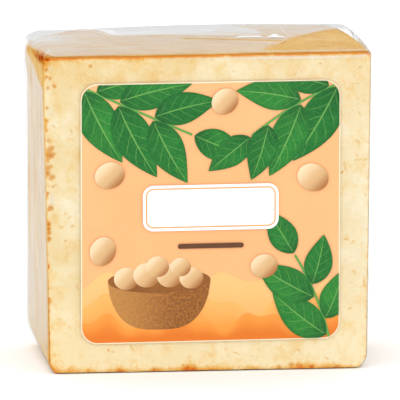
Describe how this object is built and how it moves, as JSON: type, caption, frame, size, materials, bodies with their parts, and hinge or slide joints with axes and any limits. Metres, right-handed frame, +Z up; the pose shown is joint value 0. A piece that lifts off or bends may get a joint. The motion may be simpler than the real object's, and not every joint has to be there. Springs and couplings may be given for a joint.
{
  "type": "sealed smoked tofu block",
  "caption": "Square block of smoked tofu sealed in clear film, standing upright, with a flat square label with round corners on its front.",
  "frame": {"origin": "middle of the base, on the surface that the block stands on", "axes": "+Z up, the labelled front faces -Y, +X to the right as seen from the front"},
  "size_m": [0.0804, 0.0424, 0.0793],
  "materials": {
    "smoked_tofu": "pale cream, browned along its edges",
    "label_print": "satin printed label, peach with green and warm shapes",
    "clear_film": "clear glossy film with fine creases"
  },
  "bodies": {
    "root": {"sealed_block": "smoked_tofu", "front_label": "label_print"}
  },
  "joints": []
}
